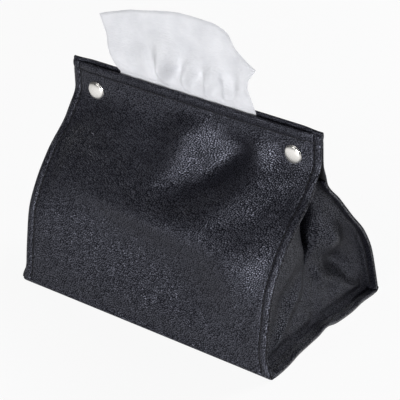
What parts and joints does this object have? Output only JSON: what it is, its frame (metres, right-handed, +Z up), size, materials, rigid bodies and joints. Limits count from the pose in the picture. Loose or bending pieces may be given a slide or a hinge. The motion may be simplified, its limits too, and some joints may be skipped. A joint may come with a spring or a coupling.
{
  "type": "tissue pouch",
  "caption": "Soft leather tissue pouch with a slit top, pleated end gussets, press studs and a stack of interleaved tissues inside.",
  "frame": {"origin": "middle of the base panel's underside, on the table", "axes": "+X along the slit to the right, -Y to the front wall, +Z up"},
  "size_m": [0.2, 0.127, 0.196],
  "materials": {
    "leather": "pebble grained, soft sheen",
    "tissue": "soft two-ply paper",
    "snap_chrome": "polished",
    "snap_steel": "satin",
    "spring_wire": "drawn wire"
  },
  "bodies": {
    "base": {"base_panel": "leather", "left_gusset": "leather", "right_gusset": "leather", "tissue_stack": "tissue"},
    "front": {"front_panel": "leather", "left_snap_cap": "snap_chrome", "left_snap_socket": "snap_steel", "left_snap_spring": "spring_wire", "right_snap_cap": "snap_chrome", "right_snap_socket": "snap_steel", "right_snap_spring": "spring_wire"},
    "back": {"back_panel": "leather", "left_snap_stud": "snap_steel", "left_snap_post": "snap_chrome", "right_snap_stud": "snap_steel", "right_snap_post": "snap_chrome"},
    "sheet": {"tissue_sheet": "tissue"}
  },
  "joints": [
    {"name": "front_panel_open", "type": "hinge", "parent": "base", "child": "front", "pos_m": [0, -0.063, 0.004], "axis": [1, 0, 0], "range_deg": [0, 20], "deforming": ["left_gusset", "right_gusset", "left_snap_spring", "right_snap_spring"]},
    {"name": "back_panel_open", "type": "hinge", "parent": "base", "child": "back", "pos_m": [0, 0.063, 0.004], "axis": [1, 0, 0], "range_deg": [-20, 0]},
    {"name": "tissue_pull", "type": "slide", "parent": "base", "child": "sheet", "axis": [0, 0, 1], "range_m": [0, 0.1]}
  ],
  "couplings": [
    {"joint": "back_panel_open", "follows": "front_panel_open", "ratio": -1}
  ]
}
